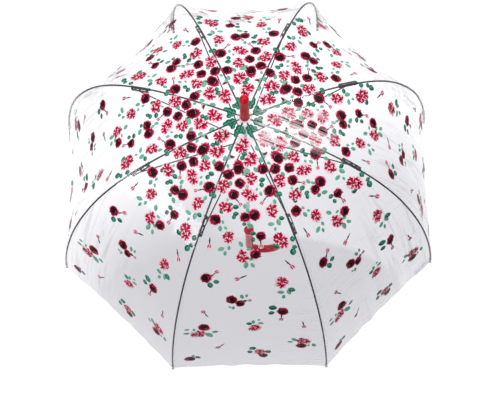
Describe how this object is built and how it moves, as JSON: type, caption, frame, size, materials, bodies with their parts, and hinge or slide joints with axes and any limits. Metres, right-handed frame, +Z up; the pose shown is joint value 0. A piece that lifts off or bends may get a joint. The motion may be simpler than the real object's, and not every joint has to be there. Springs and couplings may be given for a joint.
{
  "type": "clear dome umbrella",
  "caption": "Deep clear dome umbrella with a printed flower canopy, arched ribs, stretchers, a sliding runner, a red ferrule and a red crook handle; it folds down along its shaft.",
  "frame": {"origin": "middle of the handle's straight grip, on the shaft's axis", "axes": "+Z up along the shaft to the ferrule; +X the way the crook's end points; -Y is the front, the middle of panel 8"},
  "size_m": [0.8298, 0.8298, 0.9687],
  "materials": {
    "shaft_steel": "bright plated tube",
    "ferrule_red": "opaque glossy red",
    "crown_plastic": "moulded pale plastic",
    "wire_steel": "drawn wire",
    "washer_clear": "clear moulding",
    "runner_plastic": "moulded pale plastic",
    "catch_steel": "spring strip",
    "handle_red": "translucent crimson moulding",
    "strap_clear": "clear film",
    "rib_dark": "dark glass-fibre rod",
    "stretcher_dark": "black lacquered steel",
    "tip_red": "translucent pink-red moulding",
    "film_clear": "clear glossy film with a printed flower pattern"
  },
  "bodies": {
    "frame": {"shaft": "shaft_steel", "ferrule": "ferrule_red", "crown": "crown_plastic", "crown_wire": "wire_steel", "canopy_washer": "washer_clear", "handle": "handle_red", "handle_collar": "handle_red"},
    "runner": {"runner": "runner_plastic", "runner_wire": "wire_steel"},
    "top_catch": {"top_catch": "catch_steel"},
    "bottom_catch": {"bottom_catch": "catch_steel"},
    "rib_upper_1": {"rib_upper_1": "rib_dark"},
    "rib_lower_1": {"rib_lower_1": "rib_dark", "tip_cap_1": "tip_red"},
    "stretcher_1": {"stretcher_1": "stretcher_dark"},
    "film_upper_1": {"film_upper_1": "film_clear"},
    "film_lower_1": {"film_lower_1": "film_clear", "tie_strap": "strap_clear"},
    "rib_upper_2": {"rib_upper_2": "rib_dark"},
    "rib_lower_2": {"rib_lower_2": "rib_dark", "tip_cap_2": "tip_red"},
    "stretcher_2": {"stretcher_2": "stretcher_dark"},
    "film_upper_2": {"film_upper_2": "film_clear"},
    "film_lower_2": {"film_lower_2": "film_clear"},
    "rib_upper_3": {"rib_upper_3": "rib_dark"},
    "rib_lower_3": {"rib_lower_3": "rib_dark", "tip_cap_3": "tip_red"},
    "stretcher_3": {"stretcher_3": "stretcher_dark"},
    "film_upper_3": {"film_upper_3": "film_clear"},
    "film_lower_3": {"film_lower_3": "film_clear"},
    "rib_upper_4": {"rib_upper_4": "rib_dark"},
    "rib_lower_4": {"rib_lower_4": "rib_dark", "tip_cap_4": "tip_red"},
    "stretcher_4": {"stretcher_4": "stretcher_dark"},
    "film_upper_4": {"film_upper_4": "film_clear"},
    "film_lower_4": {"film_lower_4": "film_clear"},
    "rib_upper_5": {"rib_upper_5": "rib_dark"},
    "rib_lower_5": {"rib_lower_5": "rib_dark", "tip_cap_5": "tip_red"},
    "stretcher_5": {"stretcher_5": "stretcher_dark"},
    "film_upper_5": {"film_upper_5": "film_clear"},
    "film_lower_5": {"film_lower_5": "film_clear"},
    "rib_upper_6": {"rib_upper_6": "rib_dark"},
    "rib_lower_6": {"rib_lower_6": "rib_dark", "tip_cap_6": "tip_red"},
    "stretcher_6": {"stretcher_6": "stretcher_dark"},
    "film_upper_6": {"film_upper_6": "film_clear"},
    "film_lower_6": {"film_lower_6": "film_clear"},
    "rib_upper_7": {"rib_upper_7": "rib_dark"},
    "rib_lower_7": {"rib_lower_7": "rib_dark", "tip_cap_7": "tip_red"},
    "stretcher_7": {"stretcher_7": "stretcher_dark"},
    "film_upper_7": {"film_upper_7": "film_clear"},
    "film_lower_7": {"film_lower_7": "film_clear"},
    "rib_upper_8": {"rib_upper_8": "rib_dark"},
    "rib_lower_8": {"rib_lower_8": "rib_dark", "tip_cap_8": "tip_red"},
    "stretcher_8": {"stretcher_8": "stretcher_dark"},
    "film_upper_8": {"film_upper_8": "film_clear"},
    "film_lower_8": {"film_lower_8": "film_clear"}
  },
  "joints": [
    {"name": "runner_slide", "type": "slide", "parent": "frame", "child": "runner", "axis": [0, 0, -1], "range_m": [0, 0.36718], "deforming": ["film_upper_1", "film_upper_2", "film_upper_3", "film_upper_4", "film_upper_5", "film_upper_6", "film_upper_7", "film_upper_8", "film_lower_1", "film_lower_2", "film_lower_3", "film_lower_4", "film_lower_5", "film_lower_6", "film_lower_7", "film_lower_8", "tie_strap"]},
    {"name": "top_catch_press", "type": "slide", "parent": "frame", "child": "top_catch", "axis": [-1, 0, 0], "range_m": [0, 0.0032], "stiffness_N_per_m": 400, "springref_m": -0.001},
    {"name": "bottom_catch_press", "type": "slide", "parent": "frame", "child": "bottom_catch", "axis": [-1, 0, 0], "range_m": [0, 0.0032], "stiffness_N_per_m": 400, "springref_m": -0.001},
    {"name": "rib_fold_1", "type": "hinge", "parent": "frame", "child": "rib_upper_1", "pos_m": [0.00536, -0.01293, 0.773], "axis": [0.9239, 0.3827, 0], "range_deg": [0, 69.52]},
    {"name": "rib_flex_1", "type": "hinge", "parent": "rib_upper_1", "child": "rib_lower_1", "pos_m": [0.12359, -0.29837, 0.67039], "axis": [0.9239, 0.3827, 0], "range_deg": [-49.02, 0]},
    {"name": "stretcher_turn_1", "type": "hinge", "parent": "rib_upper_1", "child": "stretcher_1", "pos_m": [0.0952, -0.22983, 0.71712], "axis": [0.9239, 0.3827, 0], "range_deg": [-139.02, 0]},
    {"name": "film_fold_1", "type": "hinge", "parent": "frame", "child": "film_upper_1", "pos_m": [0.0092, -0.0092, 0.7762], "axis": [0.7071, 0.7071, 0], "range_deg": [0, 67.52]},
    {"name": "film_flex_1", "type": "hinge", "parent": "film_upper_1", "child": "film_lower_1", "pos_m": [0.21162, -0.21162, 0.67139], "axis": [0.7071, 0.7071, 0], "range_deg": [-48.52, 0]},
    {"name": "rib_fold_2", "type": "hinge", "parent": "frame", "child": "rib_upper_2", "pos_m": [0.01293, -0.00536, 0.773], "axis": [0.3827, 0.9239, 0], "range_deg": [0, 69.52]},
    {"name": "rib_flex_2", "type": "hinge", "parent": "rib_upper_2", "child": "rib_lower_2", "pos_m": [0.29837, -0.12359, 0.67039], "axis": [0.3827, 0.9239, 0], "range_deg": [-49.02, 0]},
    {"name": "stretcher_turn_2", "type": "hinge", "parent": "rib_upper_2", "child": "stretcher_2", "pos_m": [0.22983, -0.0952, 0.71712], "axis": [0.3827, 0.9239, 0], "range_deg": [-139.02, 0]},
    {"name": "film_fold_2", "type": "hinge", "parent": "frame", "child": "film_upper_2", "pos_m": [0.01301, 0, 0.7762], "axis": [0, 1, 0], "range_deg": [0, 67.52]},
    {"name": "film_flex_2", "type": "hinge", "parent": "film_upper_2", "child": "film_lower_2", "pos_m": [0.29927, 0, 0.67139], "axis": [0, 1, 0], "range_deg": [-48.52, 0]},
    {"name": "rib_fold_3", "type": "hinge", "parent": "frame", "child": "rib_upper_3", "pos_m": [0.01293, 0.00536, 0.773], "axis": [-0.3827, 0.9239, 0], "range_deg": [0, 69.52]},
    {"name": "rib_flex_3", "type": "hinge", "parent": "rib_upper_3", "child": "rib_lower_3", "pos_m": [0.29837, 0.12359, 0.67039], "axis": [-0.3827, 0.9239, 0], "range_deg": [-49.02, 0]},
    {"name": "stretcher_turn_3", "type": "hinge", "parent": "rib_upper_3", "child": "stretcher_3", "pos_m": [0.22983, 0.0952, 0.71712], "axis": [-0.3827, 0.9239, 0], "range_deg": [-139.02, 0]},
    {"name": "film_fold_3", "type": "hinge", "parent": "frame", "child": "film_upper_3", "pos_m": [0.0092, 0.0092, 0.7762], "axis": [-0.7071, 0.7071, 0], "range_deg": [0, 67.52]},
    {"name": "film_flex_3", "type": "hinge", "parent": "film_upper_3", "child": "film_lower_3", "pos_m": [0.21162, 0.21162, 0.67139], "axis": [-0.7071, 0.7071, 0], "range_deg": [-48.52, 0]},
    {"name": "rib_fold_4", "type": "hinge", "parent": "frame", "child": "rib_upper_4", "pos_m": [0.00536, 0.01293, 0.773], "axis": [-0.9239, 0.3827, 0], "range_deg": [0, 69.52]},
    {"name": "rib_flex_4", "type": "hinge", "parent": "rib_upper_4", "child": "rib_lower_4", "pos_m": [0.12359, 0.29837, 0.67039], "axis": [-0.9239, 0.3827, 0], "range_deg": [-49.02, 0]},
    {"name": "stretcher_turn_4", "type": "hinge", "parent": "rib_upper_4", "child": "stretcher_4", "pos_m": [0.0952, 0.22983, 0.71712], "axis": [-0.9239, 0.3827, 0], "range_deg": [-139.02, 0]},
    {"name": "film_fold_4", "type": "hinge", "parent": "frame", "child": "film_upper_4", "pos_m": [0, 0.01301, 0.7762], "axis": [-1, 0, 0], "range_deg": [0, 67.52]},
    {"name": "film_flex_4", "type": "hinge", "parent": "film_upper_4", "child": "film_lower_4", "pos_m": [0, 0.29927, 0.67139], "axis": [-1, 0, 0], "range_deg": [-48.52, 0]},
    {"name": "rib_fold_5", "type": "hinge", "parent": "frame", "child": "rib_upper_5", "pos_m": [-0.00536, 0.01293, 0.773], "axis": [-0.9239, -0.3827, 0], "range_deg": [0, 69.52]},
    {"name": "rib_flex_5", "type": "hinge", "parent": "rib_upper_5", "child": "rib_lower_5", "pos_m": [-0.12359, 0.29837, 0.67039], "axis": [-0.9239, -0.3827, 0], "range_deg": [-49.02, 0]},
    {"name": "stretcher_turn_5", "type": "hinge", "parent": "rib_upper_5", "child": "stretcher_5", "pos_m": [-0.0952, 0.22983, 0.71712], "axis": [-0.9239, -0.3827, 0], "range_deg": [-139.02, 0]},
    {"name": "film_fold_5", "type": "hinge", "parent": "frame", "child": "film_upper_5", "pos_m": [-0.0092, 0.0092, 0.7762], "axis": [-0.7071, -0.7071, 0], "range_deg": [0, 67.52]},
    {"name": "film_flex_5", "type": "hinge", "parent": "film_upper_5", "child": "film_lower_5", "pos_m": [-0.21162, 0.21162, 0.67139], "axis": [-0.7071, -0.7071, 0], "range_deg": [-48.52, 0]},
    {"name": "rib_fold_6", "type": "hinge", "parent": "frame", "child": "rib_upper_6", "pos_m": [-0.01293, 0.00536, 0.773], "axis": [-0.3827, -0.9239, 0], "range_deg": [0, 69.52]},
    {"name": "rib_flex_6", "type": "hinge", "parent": "rib_upper_6", "child": "rib_lower_6", "pos_m": [-0.29837, 0.12359, 0.67039], "axis": [-0.3827, -0.9239, 0], "range_deg": [-49.02, 0]},
    {"name": "stretcher_turn_6", "type": "hinge", "parent": "rib_upper_6", "child": "stretcher_6", "pos_m": [-0.22983, 0.0952, 0.71712], "axis": [-0.3827, -0.9239, 0], "range_deg": [-139.02, 0]},
    {"name": "film_fold_6", "type": "hinge", "parent": "frame", "child": "film_upper_6", "pos_m": [-0.01301, 0, 0.7762], "axis": [0, -1, 0], "range_deg": [0, 67.52]},
    {"name": "film_flex_6", "type": "hinge", "parent": "film_upper_6", "child": "film_lower_6", "pos_m": [-0.29927, 0, 0.67139], "axis": [0, -1, 0], "range_deg": [-48.52, 0]},
    {"name": "rib_fold_7", "type": "hinge", "parent": "frame", "child": "rib_upper_7", "pos_m": [-0.01293, -0.00536, 0.773], "axis": [0.3827, -0.9239, 0], "range_deg": [0, 69.52]},
    {"name": "rib_flex_7", "type": "hinge", "parent": "rib_upper_7", "child": "rib_lower_7", "pos_m": [-0.29837, -0.12359, 0.67039], "axis": [0.3827, -0.9239, 0], "range_deg": [-49.02, 0]},
    {"name": "stretcher_turn_7", "type": "hinge", "parent": "rib_upper_7", "child": "stretcher_7", "pos_m": [-0.22983, -0.0952, 0.71712], "axis": [0.3827, -0.9239, 0], "range_deg": [-139.02, 0]},
    {"name": "film_fold_7", "type": "hinge", "parent": "frame", "child": "film_upper_7", "pos_m": [-0.0092, -0.0092, 0.7762], "axis": [0.7071, -0.7071, 0], "range_deg": [0, 67.52]},
    {"name": "film_flex_7", "type": "hinge", "parent": "film_upper_7", "child": "film_lower_7", "pos_m": [-0.21162, -0.21162, 0.67139], "axis": [0.7071, -0.7071, 0], "range_deg": [-48.52, 0]},
    {"name": "rib_fold_8", "type": "hinge", "parent": "frame", "child": "rib_upper_8", "pos_m": [-0.00536, -0.01293, 0.773], "axis": [0.9239, -0.3827, 0], "range_deg": [0, 69.52]},
    {"name": "rib_flex_8", "type": "hinge", "parent": "rib_upper_8", "child": "rib_lower_8", "pos_m": [-0.12359, -0.29837, 0.67039], "axis": [0.9239, -0.3827, 0], "range_deg": [-49.02, 0]},
    {"name": "stretcher_turn_8", "type": "hinge", "parent": "rib_upper_8", "child": "stretcher_8", "pos_m": [-0.0952, -0.22983, 0.71712], "axis": [0.9239, -0.3827, 0], "range_deg": [-139.02, 0]},
    {"name": "film_fold_8", "type": "hinge", "parent": "frame", "child": "film_upper_8", "pos_m": [0, -0.01301, 0.7762], "axis": [1, 0, 0], "range_deg": [0, 67.52]},
    {"name": "film_flex_8", "type": "hinge", "parent": "film_upper_8", "child": "film_lower_8", "pos_m": [0, -0.29927, 0.67139], "axis": [1, 0, 0], "range_deg": [-48.52, 0]}
  ],
  "couplings": [
    {"joint": "rib_fold_1", "follows": "runner_slide", "rad_per_m": 3.3036},
    {"joint": "rib_flex_1", "follows": "runner_slide", "rad_per_m": -2.3291},
    {"joint": "stretcher_turn_1", "follows": "runner_slide", "rad_per_m": -6.6071},
    {"joint": "film_fold_1", "follows": "runner_slide", "rad_per_m": 3.2085},
    {"joint": "film_flex_1", "follows": "runner_slide", "rad_per_m": -2.3054},
    {"joint": "rib_fold_2", "follows": "runner_slide", "rad_per_m": 3.3036},
    {"joint": "rib_flex_2", "follows": "runner_slide", "rad_per_m": -2.3291},
    {"joint": "stretcher_turn_2", "follows": "runner_slide", "rad_per_m": -6.6071},
    {"joint": "film_fold_2", "follows": "runner_slide", "rad_per_m": 3.2085},
    {"joint": "film_flex_2", "follows": "runner_slide", "rad_per_m": -2.3054},
    {"joint": "rib_fold_3", "follows": "runner_slide", "rad_per_m": 3.3036},
    {"joint": "rib_flex_3", "follows": "runner_slide", "rad_per_m": -2.3291},
    {"joint": "stretcher_turn_3", "follows": "runner_slide", "rad_per_m": -6.6071},
    {"joint": "film_fold_3", "follows": "runner_slide", "rad_per_m": 3.2085},
    {"joint": "film_flex_3", "follows": "runner_slide", "rad_per_m": -2.3054},
    {"joint": "rib_fold_4", "follows": "runner_slide", "rad_per_m": 3.3036},
    {"joint": "rib_flex_4", "follows": "runner_slide", "rad_per_m": -2.3291},
    {"joint": "stretcher_turn_4", "follows": "runner_slide", "rad_per_m": -6.6071},
    {"joint": "film_fold_4", "follows": "runner_slide", "rad_per_m": 3.2085},
    {"joint": "film_flex_4", "follows": "runner_slide", "rad_per_m": -2.3054},
    {"joint": "rib_fold_5", "follows": "runner_slide", "rad_per_m": 3.3036},
    {"joint": "rib_flex_5", "follows": "runner_slide", "rad_per_m": -2.3291},
    {"joint": "stretcher_turn_5", "follows": "runner_slide", "rad_per_m": -6.6071},
    {"joint": "film_fold_5", "follows": "runner_slide", "rad_per_m": 3.2085},
    {"joint": "film_flex_5", "follows": "runner_slide", "rad_per_m": -2.3054},
    {"joint": "rib_fold_6", "follows": "runner_slide", "rad_per_m": 3.3036},
    {"joint": "rib_flex_6", "follows": "runner_slide", "rad_per_m": -2.3291},
    {"joint": "stretcher_turn_6", "follows": "runner_slide", "rad_per_m": -6.6071},
    {"joint": "film_fold_6", "follows": "runner_slide", "rad_per_m": 3.2085},
    {"joint": "film_flex_6", "follows": "runner_slide", "rad_per_m": -2.3054},
    {"joint": "rib_fold_7", "follows": "runner_slide", "rad_per_m": 3.3036},
    {"joint": "rib_flex_7", "follows": "runner_slide", "rad_per_m": -2.3291},
    {"joint": "stretcher_turn_7", "follows": "runner_slide", "rad_per_m": -6.6071},
    {"joint": "film_fold_7", "follows": "runner_slide", "rad_per_m": 3.2085},
    {"joint": "film_flex_7", "follows": "runner_slide", "rad_per_m": -2.3054},
    {"joint": "rib_fold_8", "follows": "runner_slide", "rad_per_m": 3.3036},
    {"joint": "rib_flex_8", "follows": "runner_slide", "rad_per_m": -2.3291},
    {"joint": "stretcher_turn_8", "follows": "runner_slide", "rad_per_m": -6.6071},
    {"joint": "film_fold_8", "follows": "runner_slide", "rad_per_m": 3.2085},
    {"joint": "film_flex_8", "follows": "runner_slide", "rad_per_m": -2.3054}
  ]
}
